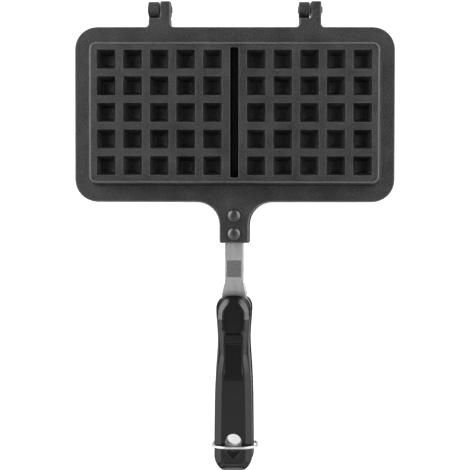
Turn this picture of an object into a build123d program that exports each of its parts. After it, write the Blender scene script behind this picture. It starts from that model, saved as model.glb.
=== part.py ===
"""A stovetop waffle iron: two identical cast pans hinged at the back, each riveted to a steel
strap that carries a moulded grip, and a wire bail that locks the two grips together.

Millimetres, +Z up. The hinge is at +Y and the grips point to -Y. The origin is under the middle
of the whole iron, on the plane that the lower pan's outer face rests on. Every piece of one half
is drawn in the half's own frame: origin at the plate's centre on the mating plane, +Z outwards.
The lower half is the same half turned over about its long axis.
"""
from build123d import *
import os
from math import atan, cos, radians, tan

# ---- waffle grid, as the outer face shows it -------------------------------------------------
PITCH = 19.58            # pocket to pocket, both ways
COUNT = 5                # pockets along each side of one waffle
POCKET_W = 14.25         # opening of a pocket at the outer face
POCKET_FLOOR_W = 8.3
POCKET_DEPTH = 9.5
GRID_MARGIN = 5.1        # outermost pocket to the edge of the raised block
SLOT_W = 6.3             # groove between the two waffles
SLOT_LAND = 5.85         # groove to the nearest pocket
SLOT_FLOOR_T = 4.0       # metal left under the groove, down to the mating plane
SLOT_END = 3.4           # end of the groove to the edge of the raised block
SLOT_CORNER_R = 1.0
SLOT_DRAFT = 2.5         # degrees

# ---- castings ----------------------------------------------------------------------------------
PAN_DEPTH = 17.0         # mating plane to outer face
FLANGE_T = 5.0
RIM_X, RIM_Y = 13.9, 14.54
PLATE_R = 17.0           # corners of the flange
BLOCK_R = 4.5            # corners of the raised block at its outer face
BLOCK_DRAFT = 10.0       # degrees
BLOCK_EDGE_R = 1.4
FLANGE_EDGE_R = 1.2
WALL_T = 2.2             # round the pockets and round the block
CAVITY_DEPTH = 12.0      # mating plane to the bottom of the channels
PEG_GAP = 3.0            # peg tip to the mating plane
HALF_GAP = 0.15          # each half stops this short of the mating plane
LAP = 1.0                # how far solids that are joined or cut reach past each other

# ---- hinge -------------------------------------------------------------------------------------
TAB_SPAN = 113.2         # tab centre to tab centre
TAB_W = 17.2
TAB_ROOT_R = 2.2
LUG_GAP = 0.5            # between the two lugs of one tab
AXIS_OUT = 13.4          # hinge axis beyond the plate's edge
LUG_R = 6.0
NOTCH_CLEAR = 0.7        # round the other half's lug
PIN_D = 4.0
PIN_CLEAR = 0.05         # radial, in the upper lugs
PIN_HEAD_D = 5.2
PIN_HEAD_T = 0.8
PIN_PLAY = 0.15          # under the head on the moving side

# ---- tongue, strap and rivets ------------------------------------------------------------------
HANDLE_OFFSET = 0.45     # tongue and strap sit this far off the middle
TONGUE_W = 22.4
TONGUE_L = 31.0
TONGUE_ROOT_R = 17.0
TONGUE_END_R = 1.6
TANG_T = 2.0
TANG_W = 14.1
TANG_WIDE_W = 18.8       # where the strap enters the grip
FLARE_L = 10.0           # the strap widens over this length, up to the grip's front
WIDE_L = 18.0            # stays wide inside the grip
NECK_L = 8.0             # and narrows again
TANG_START = 1.5         # strap's end, outside the plate's edge
TANG_FIT = 0.05          # sideways, in the tongue's channel and in the grip
RIVET_AT = 10.2          # first rivet from the plate's edge
RIVET_PITCH = 13.6
RIVET_D = 5.0
RIVET_HEAD_D = 9.9
RIVET_HEAD_H = 2.4
PEEN_D = 7.4             # closed end, flush in the strap
PEEN_T = 1.2

# ---- grip --------------------------------------------------------------------------------------
GRIP_OFFSET = 0.5        # each grip sits this far off the middle
GRIP_AT = 69.3           # grip's front from the plate's edge
GRIP_L = 133.9
GRIP_T = 15.0            # mating plane to the grip's flat top
GRIP_FRONT_W = 26.2
FRONT_BOW = 4.4          # how far the front bulges between its corners
FRONT_CORNER_R = 5.0
WAIST_AT, WAIST_W = 31.8, 23.7
BELLY = ((57.0, 26.5), (79.9, 28.1))     # distance from the front, width
GRIP_REAR_W = 28.8
SHOULDER_W, SHOULDER_H = 6.2, 9.0        # rounding along both top edges
NOSE_T = 10.0            # height of the front before it slopes up
NOSE_RUN = 7.4
THUMB_AT, THUMB_L, THUMB_W, THUMB_D = 3.0, 26.4, 16.9, 2.2
RIB_L = 5.9              # raised rib between the two recesses
PALM_L = 28.0            # second recess, fading out
HOLE_FROM_END = 24.7     # centre of the hang hole's round end
HOLE_R, HOLE_SMALL_R, HOLE_RUN = 6.0, 3.0, 8.6
HOLE_CHAMFER = 0.9
EYE_WALL = 4.2           # strap round the hang hole
SCREW_AT = 70.0          # grip screw from the grip's front
SCREW_D = 4.0
SCREW_HEAD_D = 7.4
SCREW_L = 9.0
DRIVE_W, DRIVE_SLOT, DRIVE_DEPTH = 4.2, 1.0, 0.8   # cross recess in the screw's head
INSERT_AF = 6.5          # brass insert, across flats
INSERT_L = 8.0
INSERT_GROOVE, INSERT_GROOVE_L = 0.6, 2.0

# ---- bail --------------------------------------------------------------------------------------
WIRE_D = 2.0
BAIL_FROM_END = 19.1     # pivot from the grip's end
PIVOT_DROP = 6.0         # pivot below the mating plane
BAIL_OVER = 3.0          # air over the closed grips
BAIL_LEAN = 6.0          # degrees past upright, towards the plates, when locked
LEG_CLEAR = 0.3          # air between a leg and the nearer grip
BAIL_CORNER_R = 11.5
BAIL_FOOT_R = 1.6
FOOT_REACH = 4.6         # how far a foot goes into the grip
FOOT_END_CLEAR = 0.3
FOOT_CLEAR = 0.05        # radial, running
SWING_CLEAR = 0.5        # crossbar to the grips' ends

# ---- worked out from the above ------------------------------------------------------------------
GRID_W = (COUNT - 1) * PITCH + POCKET_W
BLOCK_X = SLOT_W + 2 * (SLOT_LAND + GRID_W + GRID_MARGIN)
BLOCK_Y = GRID_W + 2 * GRID_MARGIN
PLATE_X, PLATE_Y = BLOCK_X + 2 * RIM_X, BLOCK_Y + 2 * RIM_Y
FRONT, BACK = -PLATE_Y / 2, PLATE_Y / 2
AXIS_Y = BACK + AXIS_OUT
GRIP_Y = FRONT - GRIP_AT
END_Y = GRIP_Y - GRIP_L
GRIP_X = -GRIP_OFFSET
TANG_X = -HANDLE_OFFSET
TANG_TOP = HALF_GAP + TANG_T
HOLE_Y = END_Y + HOLE_FROM_END
SCREW_Y = GRIP_Y - SCREW_AT
BAIL_Y = END_Y + BAIL_FROM_END
WIRE_R = WIRE_D / 2
CROSSBAR_Z = GRIP_T + BAIL_OVER + WIRE_R
BAIL_R = CROSSBAR_Z + PIVOT_DROP
LEG_X = GRIP_REAR_W / 2 + 2 * GRIP_OFFSET + LEG_CLEAR + WIRE_R
FOOT_X = GRIP_REAR_W / 2 - FOOT_REACH
POCKET_SLOPE = (POCKET_W - POCKET_FLOOR_W) / 2 / POCKET_DEPTH
WALL_X = WALL_T / cos(atan(POCKET_SLOPE))
BLOCK_SLOPE = tan(radians(BLOCK_DRAFT))
CENTRE_Y = -(END_Y + AXIS_Y + LUG_R) / 2

HALVES = {"upper": Pos(0, CENTRE_Y, PAN_DEPTH), "lower": Pos(0, CENTRE_Y, PAN_DEPTH) * Rot(Y=180)}


def frustum(x, y, base, top, z0, z1):
    """A four-sided taper about (x, y): base and top are its (width, length) at z0 and z1."""
    dx, dy = (base[0] - top[0]) / 2, (base[1] - top[1]) / 2
    solid = Wedge(base[0], z1 - z0, base[1], dx, dy, base[0] - dx, base[1] - dy)
    return Pos(x, y, (z0 + z1) / 2) * Rot(X=90) * solid


def pocket_half(z):
    """Half the width that a pocket has, or would have, at height z."""
    return POCKET_W / 2 - (PAN_DEPTH - z) * POCKET_SLOPE


def grid():
    """Centres of all the pockets of one pan."""
    first = SLOT_W / 2 + SLOT_LAND + POCKET_W / 2
    rows = [(i - (COUNT - 1) / 2) * PITCH for i in range(COUNT)]
    return [(side * (first + i * PITCH), y) for side in (-1, 1) for i in range(COUNT) for y in rows]


def cylinder_x(x0, x1, y, z, radius):
    """A cylinder along X."""
    return Pos((x0 + x1) / 2, y, z) * Rot(Y=90) * Cylinder(radius, x1 - x0)


def stem(x, y, z0, z1, radius):
    """A cylinder along Z."""
    return Pos(x, y, (z0 + z1) / 2) * Cylinder(radius, z1 - z0)


def cone(x, y, z0, z1, r0, r1):
    return Pos(x, y, (z0 + z1) / 2) * Cone(r0, r1, z1 - z0)


def near(shape, points):
    """The sketch's corners that lie at the given points."""
    return [v for v in shape.vertices() for p in points if abs(v.X - p[0]) + abs(v.Y - p[1]) < 1e-4]


# ---- castings ----------------------------------------------------------------------------------
def flange():
    """Rounded plate with the tongue and the two hinge tabs, one level thick."""
    tabs = [s * TAB_SPAN / 2 for s in (-1, 1)]
    tab_end = AXIS_Y + LUG_R
    outline = RectangleRounded(PLATE_X, PLATE_Y, PLATE_R)
    outline += Pos(TANG_X, FRONT - TONGUE_L / 2) * Rectangle(TONGUE_W, TONGUE_L)
    for x in tabs:
        outline += Pos(x, (BACK + tab_end) / 2) * Rectangle(TAB_W, tab_end - BACK)
    tongue = [TANG_X - TONGUE_W / 2, TANG_X + TONGUE_W / 2]
    outline = fillet(near(outline, [(x, FRONT) for x in tongue]), TONGUE_ROOT_R)
    outline = fillet(near(outline, [(x, FRONT - TONGUE_L) for x in tongue]), TONGUE_END_R)
    roots = [(x + s * TAB_W / 2, BACK) for x in tabs for s in (-1, 1)]
    outline = fillet(near(outline, roots), TAB_ROOT_R)
    plate = Pos(0, 0, HALF_GAP) * extrude(outline, FLANGE_T - HALF_GAP)
    return fillet(plate.edges().group_by(Axis.Z)[-1], FLANGE_EDGE_R)


def block():
    """Raised block that holds the two waffle grids."""
    spread = (PAN_DEPTH - FLANGE_T) * BLOCK_SLOPE
    foot = RectangleRounded(BLOCK_X + 2 * spread, BLOCK_Y + 2 * spread, BLOCK_R + spread)
    body = Pos(0, 0, FLANGE_T) * extrude(foot, PAN_DEPTH - FLANGE_T, taper=BLOCK_DRAFT)
    body = fillet(body.edges().group_by(Axis.Z)[-1], BLOCK_EDGE_R)
    return body + Pos(0, 0, FLANGE_T - LAP) * extrude(foot, LAP)


def cavities():
    """The two hollows that the batter fills, without their pegs."""
    wall = WALL_T / cos(radians(BLOCK_DRAFT))
    out = []
    slope = tan(radians(SLOT_DRAFT))

    def limits(z):
        reach = (PAN_DEPTH - z) * BLOCK_SLOPE - wall
        inner = SLOT_W / 2 + WALL_T - (PAN_DEPTH - z) * slope
        return inner, BLOCK_X / 2 + reach, BLOCK_Y + 2 * reach

    inner0, outer0, long0 = limits(HALF_GAP)
    inner1, outer1, long1 = limits(CAVITY_DEPTH)
    for side in (-1, 1):
        points = [(side * inner0, HALF_GAP), (side * outer0, HALF_GAP),
                  (side * outer1, CAVITY_DEPTH), (side * inner1, CAVITY_DEPTH)]
        across = extrude(Plane.XZ * make_face(Polyline(*points, close=True)), long0, both=True)
        along = frustum(0, 0, (2 * PLATE_X, long0), (2 * PLATE_X, long1), HALF_GAP, CAVITY_DEPTH)
        out.append(across & along)
    return out


def pegs():
    base = 2 * (pocket_half(CAVITY_DEPTH) + WALL_X)
    tip = 2 * (pocket_half(PEG_GAP) + WALL_X)
    return [frustum(x, y, (tip, tip), (base, base), PEG_GAP, CAVITY_DEPTH) for x, y in grid()]


def pockets():
    floor_z = PAN_DEPTH - POCKET_DEPTH
    mouth = POCKET_W + 2 * LAP * POCKET_SLOPE
    small = (POCKET_FLOOR_W, POCKET_FLOOR_W)
    return [frustum(x, y, small, (mouth, mouth), floor_z, PAN_DEPTH + LAP) for x, y in grid()]


def slot():
    """Square-ended groove in the outer face between the two waffles."""
    depth = PAN_DEPTH - SLOT_FLOOR_T
    shape = RectangleRounded(SLOT_W, BLOCK_Y - 2 * SLOT_END, SLOT_CORNER_R)
    return Pos(0, 0, PAN_DEPTH) * extrude(shape, -depth, taper=SLOT_DRAFT)


def tab_cuts():
    """The notch in each tab that the other half's lug turns in."""
    deep = 4 * LUG_R
    wall = AXIS_Y - LUG_R - NOTCH_CLEAR
    cuts = []
    for x in (-TAB_SPAN / 2, TAB_SPAN / 2):
        right, left = x + LUG_GAP / 2, x - TAB_W / 2 - LAP
        cuts.append(Pos((left + right) / 2, wall + deep / 2, 0) * Box(right - left, deep, deep))
    return cuts


def lugs():
    """The rounded side of each lug, which reaches past the mating plane round the pin."""
    out = []
    for x in (-TAB_SPAN / 2, TAB_SPAN / 2):
        out.append(cylinder_x(x + LUG_GAP / 2, x + TAB_W / 2, AXIS_Y, 0, LUG_R))
    return out


def pan(bore_r):
    tab_trim = Pos(0, AXIS_Y, FLANGE_T + LUG_R) * Box(2 * TAB_SPAN, 4 * LUG_R, 2 * LUG_R)
    body = flange() + block() - cavities() + pegs() - pockets() - slot()
    body = body - tab_cuts() + [lug - tab_trim for lug in lugs()]
    bores = [cylinder_x(x, x + TAB_W, AXIS_Y, 0, bore_r) for x in (-TAB_SPAN / 2, TAB_SPAN / 2)]
    channel = Pos(0, 0, HALF_GAP) * extrude(tang_outline(TANG_FIT), TANG_T)
    holes = [stem(TANG_X, y, 0, PAN_DEPTH, RIVET_D / 2) for y in rivet_ys()]
    return body - bores - channel - holes


# ---- straps and rivets --------------------------------------------------------------------------
def rivet_ys():
    return [FRONT - RIVET_AT - i * RIVET_PITCH for i in range(2)]


def tang_outline(fit=0.0):
    """Strap seen square on: narrow at the tongue, wide at the grip's front, an eye at the end."""
    start, half, wide = FRONT - TANG_START + fit, TANG_W / 2 + fit, TANG_WIDE_W / 2 + fit
    neck = GRIP_Y - WIDE_L
    side = [(half, start), (half, GRIP_Y + FLARE_L), (wide, GRIP_Y), (wide, neck)]
    side += [(half, neck - NECK_L), (half, HOLE_Y)]
    points = [(TANG_X + x, y) for x, y in side] + [(TANG_X - x, y) for x, y in reversed(side)]
    outline = make_face(Polyline(*points, close=True))
    return outline + egg(EYE_WALL + fit)


def egg(grow=0.0):
    """The grips' hang hole seen square on: a large and a small circle and their common tangents."""
    big = Pos(GRIP_X, HOLE_Y) * Circle(HOLE_R + grow)
    small = Pos(GRIP_X, HOLE_Y - HOLE_RUN) * Circle(HOLE_SMALL_R + grow)
    return make_hull(big.edges() + small.edges())


def tang():
    body = Pos(0, 0, HALF_GAP) * extrude(tang_outline(), TANG_T)
    body -= stem(GRIP_X, HOLE_Y, 0, PAN_DEPTH, HOLE_R)
    body -= [stem(TANG_X, y, 0, PAN_DEPTH, RIVET_D / 2) for y in rivet_ys()]
    body -= [peen(y) for y in rivet_ys()]
    body -= stem(TANG_X, SCREW_Y, 0, PAN_DEPTH, SCREW_D / 2)
    return body - screw_head()


def peen(y):
    return cone(TANG_X, y, HALF_GAP, HALF_GAP + PEEN_T, PEEN_D / 2, RIVET_D / 2)


def rivet(y):
    """Domed outside, closed flush on the mating side."""
    ball_r = (RIVET_HEAD_D**2 / 4 + RIVET_HEAD_H**2) / (2 * RIVET_HEAD_H)
    dome = Pos(TANG_X, y, FLANGE_T + RIVET_HEAD_H - ball_r) * Sphere(ball_r)
    dome &= stem(TANG_X, y, FLANGE_T, FLANGE_T + 2 * RIVET_HEAD_H, RIVET_HEAD_D)
    return dome + stem(TANG_X, y, HALF_GAP, FLANGE_T, RIVET_D / 2) + peen(y)


# ---- grips --------------------------------------------------------------------------------------
def grip_outline():
    """Grip seen square on: bowed front, narrow waist, widest at the round end."""
    rear_r = GRIP_REAR_W / 2
    stations = [(FRONT_BOW, GRIP_FRONT_W / 2), (WAIST_AT, WAIST_W / 2)]
    stations += [(at, width / 2) for at, width in BELLY]
    stations += [(GRIP_L - rear_r, rear_r)]
    right = [(x, GRIP_Y - at) for at, x in stations]
    left = [(-x, y) for x, y in right]
    edges = [ThreePointArc(left[0], (0, GRIP_Y), right[0]),
             Spline(*right, tangents=[(0, -1), (0, -1)]),
             ThreePointArc(right[-1], (0, END_Y), left[-1]),
             Spline(*reversed(left), tangents=[(0, 1), (0, 1)])]
    outline = make_face(edges)
    return Pos(GRIP_X, 0) * fillet(near(outline, [left[0], right[0]]), FRONT_CORNER_R)


def grip_side():
    """Grip seen from the side: sloped nose, flat top, end rounded to lie inside the bail's swing."""
    swing, corner = BAIL_R - WIRE_R - SWING_CLEAR, BAIL_CORNER_R - WIRE_R - LEG_CLEAR
    far, half = 2 * GRIP_T, GRIP_REAR_W / 2
    points = [(GRIP_Y, HALF_GAP), (GRIP_Y, NOSE_T), (GRIP_Y - NOSE_RUN, GRIP_T), (END_Y, GRIP_T),
              (END_Y, HALF_GAP)]
    side = extrude(Plane.YZ * make_face(Polyline(*points, close=True)), far, both=True)
    ahead = Pos(0, (GRIP_Y + BAIL_Y) / 2, 0) * Box(2 * far, GRIP_Y - BAIL_Y, 2 * far)
    drum = cylinder_x(GRIP_X - half, GRIP_X + half, BAIL_Y, -PIVOT_DROP, swing)
    return side & (ahead + fillet(drum.edges().filter_by(GeomType.CIRCLE), corner))


def grip_section():
    """Grip seen from its end: upright sides and shoulders that round into the flat top."""
    half = GRIP_REAR_W / 2
    flat, start = half - SHOULDER_W, GRIP_T - SHOULDER_H
    mid = (half - SHOULDER_W * (1 - cos(radians(45))), start + SHOULDER_H * cos(radians(45)))
    edges = [Line((-half, HALF_GAP), (half, HALF_GAP)), Line((half, HALF_GAP), (half, start)),
             ThreePointArc((half, start), mid, (flat, GRIP_T)), Line((flat, GRIP_T), (-flat, GRIP_T)),
             ThreePointArc((-flat, GRIP_T), (-mid[0], mid[1]), (-half, start)),
             Line((-half, start), (-half, HALF_GAP))]
    ahead = Plane((GRIP_X, GRIP_Y, 0), x_dir=(1, 0, 0), z_dir=(0, -1, 0))
    return extrude(ahead * make_face(edges), GRIP_L)


def recesses():
    """Thumb recess with an arched front, and the palm recess that fades out behind the rib."""
    top = GRIP_T - THUMB_D
    arch = THUMB_W / 2
    front, back = GRIP_Y - THUMB_AT, GRIP_Y - THUMB_AT - THUMB_L
    thumb = Pos(GRIP_X, (front - arch + back) / 2) * Rectangle(THUMB_W, front - arch - back)
    thumb += Pos(GRIP_X, front - arch) * Circle(arch)
    thumb = Pos(0, 0, top) * extrude(thumb, 2 * THUMB_D)
    palm = back - RIB_L
    wedge = [(palm, GRIP_T + LAP), (palm, top), (palm - PALM_L, GRIP_T), (palm - PALM_L, GRIP_T + LAP)]
    wedge = extrude(Plane.YZ * make_face(Polyline(*wedge, close=True)), THUMB_W / 2, both=True)
    return thumb, Pos(GRIP_X, 0, 0) * wedge


def hang_hole():
    through = extrude(egg(), PAN_DEPTH)
    mouth = loft([Pos(0, 0, GRIP_T - HOLE_CHAMFER) * egg(), Pos(0, 0, GRIP_T) * egg(HOLE_CHAMFER)])
    return through, mouth


def screw_head():
    head_t = (SCREW_HEAD_D - SCREW_D) / 2
    return cone(TANG_X, SCREW_Y, HALF_GAP, HALF_GAP + head_t, SCREW_HEAD_D / 2, SCREW_D / 2)


def grip_screw():
    """Countersunk in the strap; it draws the strap against the grip."""
    body = stem(TANG_X, SCREW_Y, HALF_GAP, HALF_GAP + SCREW_L, SCREW_D / 2) + screw_head()
    cross = Box(DRIVE_W, DRIVE_SLOT, 2 * DRIVE_DEPTH) + Box(DRIVE_SLOT, DRIVE_W, 2 * DRIVE_DEPTH)
    drive = Pos(TANG_X, SCREW_Y, HALF_GAP) * cross
    return body - drive


def insert_body():
    hexagon = RegularPolygon(INSERT_AF / 2, 6, major_radius=False)
    waist = RegularPolygon(INSERT_AF / 2 - INSERT_GROOVE, 6, major_radius=False)
    step = (INSERT_L - INSERT_GROOVE_L) / 2
    body = extrude(hexagon, step) + Pos(0, 0, step) * extrude(waist, INSERT_GROOVE_L)
    body += Pos(0, 0, step + INSERT_GROOVE_L) * extrude(hexagon, step)
    return Pos(TANG_X, SCREW_Y, TANG_TOP) * body


def grip_insert():
    """Threaded brass, moulded into the grip over the strap."""
    return insert_body() - stem(TANG_X, SCREW_Y, 0, HALF_GAP + SCREW_L, SCREW_D / 2)


def grip():
    body = extrude(grip_outline(), GRIP_T) & grip_side() & grip_section()
    body = body - recesses() - hang_hole() - insert_body()
    body -= stem(TANG_X, SCREW_Y, TANG_TOP, HALF_GAP + SCREW_L, SCREW_D / 2)
    return body - Pos(0, 0, HALF_GAP) * extrude(tang_outline(TANG_FIT), TANG_T)


def pivot_holes():
    """The bail's two blind holes, in the lower half's frame."""
    reach = FOOT_X - FOOT_END_CLEAR
    return [cylinder_x(*sorted((GRIP_X + s * reach, GRIP_X + s * 2 * GRIP_REAR_W)), BAIL_Y,
                       PIVOT_DROP, WIRE_R + FOOT_CLEAR) for s in (-1, 1)]


# ---- pins and bail ------------------------------------------------------------------------------
def hinge_pin(x):
    """Runs through both lugs of the tab centred on x, headed at both ends."""
    left, right = x - TAB_W / 2, x + TAB_W / 2 + PIN_PLAY
    body = cylinder_x(left, right, AXIS_Y, 0, PIN_D / 2)
    body += cylinder_x(left - PIN_HEAD_T, left, AXIS_Y, 0, PIN_HEAD_D / 2)
    return body + cylinder_x(right, right + PIN_HEAD_T, AXIS_Y, 0, PIN_HEAD_D / 2)


def bail():
    """Round wire: feet turned in to the grip, legs, crossbar leaning over the closed grips."""
    side = [(FOOT_X, -PIVOT_DROP), (LEG_X, -PIVOT_DROP), (LEG_X, CROSSBAR_Z)]
    points = side + [(-x, z) for x, z in reversed(side)]
    points = [(GRIP_OFFSET + x, BAIL_Y, z) for x, z in points]
    radii = [BAIL_FOOT_R, BAIL_CORNER_R, BAIL_CORNER_R, BAIL_FOOT_R]
    path = FilletPolyline(*points, radius=radii)
    section = Plane(points[0], z_dir=(1, 0, 0)) * Circle(WIRE_R)
    upright = Pos(0, -BAIL_Y, PIVOT_DROP) * sweep(section, path=path)
    return Pos(0, BAIL_Y, -PIVOT_DROP) * Rot(X=-BAIL_LEAN) * upright


def main():
    """Every piece by its name."""
    seat = HALVES["upper"]
    nodes = {"upper_pan": seat * pan(PIN_D / 2 + PIN_CLEAR),
             "lower_pan": HALVES["lower"] * pan(PIN_D / 2),
             "left_hinge_pin": seat * hinge_pin(-TAB_SPAN / 2),
             "right_hinge_pin": seat * hinge_pin(TAB_SPAN / 2),
             "upper_grip": seat * grip(),
             "lower_grip": HALVES["lower"] * (grip() - pivot_holes()),
             "locking_bail": seat * bail()}
    for name, place in HALVES.items():
        nodes[name + "_strap"] = place * tang()
        nodes[name + "_front_rivet"] = place * rivet(rivet_ys()[0])
        nodes[name + "_rear_rivet"] = place * rivet(rivet_ys()[1])
        nodes[name + "_grip_screw"] = place * grip_screw()
        nodes[name + "_grip_insert"] = place * grip_insert()
    return nodes


os.makedirs("parts", exist_ok=True)
for node, solid in main().items():
    export_step(solid, f"parts/{node}.step")
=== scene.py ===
"""Looks of a stovetop waffle iron: coated cast pans, steel straps, moulded grips and a wire bail.

Shapes are drawn in millimetres in the frame of one half: origin at the plate's centre on the
mating plane, +Z outwards. seat() puts them in the row's frame, in metres; the lower half is the
same half turned over about its long axis.
"""
import math
import bmesh
import bpy
import numpy as np
from mathutils import Matrix, Vector
from mathutils.geometry import tessellate_polygon


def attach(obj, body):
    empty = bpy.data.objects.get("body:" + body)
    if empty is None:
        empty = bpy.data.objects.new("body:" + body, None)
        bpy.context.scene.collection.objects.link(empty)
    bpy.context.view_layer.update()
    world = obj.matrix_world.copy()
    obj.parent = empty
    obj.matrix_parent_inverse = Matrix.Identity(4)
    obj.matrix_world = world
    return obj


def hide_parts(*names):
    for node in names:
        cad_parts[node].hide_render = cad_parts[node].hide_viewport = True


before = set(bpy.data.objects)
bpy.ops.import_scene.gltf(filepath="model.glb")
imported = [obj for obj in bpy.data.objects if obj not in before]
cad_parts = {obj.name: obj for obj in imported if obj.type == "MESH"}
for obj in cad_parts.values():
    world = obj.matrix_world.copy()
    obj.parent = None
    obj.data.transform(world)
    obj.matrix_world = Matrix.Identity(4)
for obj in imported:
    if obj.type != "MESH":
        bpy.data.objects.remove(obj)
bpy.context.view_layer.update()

# ---- waffle grid and castings, millimetres --------------------------------------------------------
PITCH, COUNT = 19.58, 5
POCKET_W, POCKET_FLOOR_W, POCKET_DEPTH = 14.25, 8.3, 9.5
GRID_MARGIN, SLOT_W, SLOT_LAND, SLOT_FLOOR_T, SLOT_END, SLOT_CORNER_R = 5.1, 6.3, 5.85, 4.0, 3.4, 1.0
SLOT_DRAFT, BLOCK_DRAFT = math.radians(2.5), math.radians(10)
PAN_DEPTH, FLANGE_T, CAVITY_DEPTH, PEG_GAP, WALL_T, HALF_GAP = 17.0, 5.0, 12.0, 3.0, 2.2, 0.15
RIM_X, RIM_Y, PLATE_R, BLOCK_R = 13.9, 14.54, 17.0, 4.5
BLOCK_EDGE_R, BLOCK_ROOT_R, FLANGE_EDGE_R, MATE_EDGE_R = 1.5, 1.5, 1.2, 0.35
POCKET_CORNER_R, POCKET_RIM_R, POCKET_ROOT_R, EDGE_DRAFT = 0.8, 0.4, 0.8, math.radians(4)
PEG_RIM_R, PEG_ROOT_R, CAVITY_RIM_R, CAVITY_ROOT_R = 0.9, 1.1, 0.8, 1.3

# ---- hinge, tongue and strap ----------------------------------------------------------------------
TAB_SPAN, TAB_W, TAB_ROOT_R, LUG_GAP = 113.2, 17.2, 2.2, 0.5
AXIS_OUT, LUG_R, LUG_EDGE_R = 13.4, 6.0, 1.3
NOTCH_CLEAR, NOTCH_CORNER_R = 0.7, 1.2
PIN_D, PIN_HEAD_D, PIN_HEAD_T, PIN_PLAY = 4.0, 5.2, 0.8, 0.15
HANDLE_OFFSET, TONGUE_W, TONGUE_L, TONGUE_ROOT_R, TONGUE_END_R = 0.45, 22.4, 31.0, 17.0, 1.6
TANG_T, TANG_W, TANG_WIDE_W, TANG_START, TANG_EDGE_R = 2.0, 14.1, 18.8, 1.5, 0.3
FLARE_L, WIDE_L, NECK_L = 10.0, 18.0, 8.0
RIVET_AT, RIVET_PITCH, RIVET_HEAD_D, RIVET_HEAD_H, PEEN_D = 10.2, 13.6, 9.9, 2.4, 7.4
PATCH_Y, PATCH_SIZE, PATCH_ROUGHNESS = -116.2, (11.6, 13.3, 1.0), 0.7

# ---- grip and bail --------------------------------------------------------------------------------
GRIP_OFFSET, GRIP_AT, GRIP_L, GRIP_T = 0.5, 69.3, 133.9, 15.0
GRIP_FRONT_W, FRONT_BOW, FRONT_CORNER_R = 26.2, 4.4, 8.8
WAIST_AT, WAIST_W, GRIP_REAR_W = 31.8, 23.7, 28.8
BELLY = ((57.0, 26.5), (79.9, 28.1))
GRIP_DRAFT, GRIP_FOOT_R, BAND_ANGLES = 0.12, 0.3, (27.5, 41.0, 58.0)
BAND_AT = (0.0, 10.0, 18.0, 32.0, 44.0, 58.0, 75.0)
FACET_W = (4.4, 4.4, 4.0, 3.6, 3.2, 4.0, 4.6)
BEVEL_W = (5.2, 5.2, 0.4, 0.4, 1.6, 0.5, 0.3)
RIM_W = (-3.0, -3.0, 0.5, 0.6, 1.0, 0.6, 0.4)
HORSESHOE_AT, HORSESHOE_BLEND, END_BLEND = 12.8, 6.0, 1.5
ARCH_L, ARCH_SLANT, THUMB_CORNER_R, PALM_W = 12.0, 0.8, 4.0, 14.4
THUMB_AT, THUMB_L, THUMB_W, THUMB_D, RIB_L, PALM_L, RECESS_WALL = 3.0, 26.4, 16.9, 2.2, 5.9, 28.0, 0.9
HOLE_FROM_END, HOLE_R, HOLE_SMALL_R, HOLE_RUN, HOLE_CHAMFER, EYE_WALL = 24.7, 6.0, 3.0, 8.6, 0.9, 4.2
SCREW_AT, SCREW_HEAD_D = 70.0, 7.4
WIRE_D, BAIL_FROM_END, PIVOT_DROP, BAIL_OVER, LEG_CLEAR = 2.0, 19.1, 6.0, 3.0, 0.3
BAIL_LEAN = math.radians(6)
# gain and threshold of the wire's painted highlight
HIGHLIGHT_PAINT_GAIN, HIGHLIGHT_PAINT_FROM = 1.8, 0.7
BAIL_CORNER_R, BAIL_FOOT_R, FOOT_REACH, SWING_CLEAR = 11.5, 1.6, 4.6, 0.5

# ---- worked out from the above --------------------------------------------------------------------
GRID_W = (COUNT - 1) * PITCH + POCKET_W
BLOCK_A = SLOT_W / 2 + SLOT_LAND + GRID_W + GRID_MARGIN
BLOCK_B = GRID_W / 2 + GRID_MARGIN
PLATE_A, PLATE_B = BLOCK_A + RIM_X, BLOCK_B + RIM_Y
AXIS_Y = PLATE_B + AXIS_OUT
GRIP_Y = -PLATE_B - GRIP_AT
END_Y = GRIP_Y - GRIP_L
HOLE_Y = END_Y + HOLE_FROM_END
BAIL_Y = END_Y + BAIL_FROM_END
CENTRE_Y = -(END_Y + AXIS_Y + LUG_R) / 2
CROSSBAR_Z = GRIP_T + BAIL_OVER + WIRE_D / 2
LEG_X = GRIP_REAR_W / 2 + 2 * GRIP_OFFSET + LEG_CLEAR + WIRE_D / 2
GRID_X = SLOT_W / 2 + SLOT_LAND + GRID_W / 2
POCKET_SLOPE = (POCKET_W - POCKET_FLOOR_W) / 2 / POCKET_DEPTH
WALL_X = WALL_T / math.cos(math.atan(POCKET_SLOPE))
MM = 0.001


# ---- surfaces -------------------------------------------------------------------------------------
def seat(points, half):
    """Half-frame millimetres to the row's metres: the lower half has x and z turned over."""
    turn = np.array([1.0, 1.0, 1.0] if half == "upper" else [-1.0, 1.0, -1.0])
    return (points * turn + np.array([0.0, CENTRE_Y, PAN_DEPTH])) * MM


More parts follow.
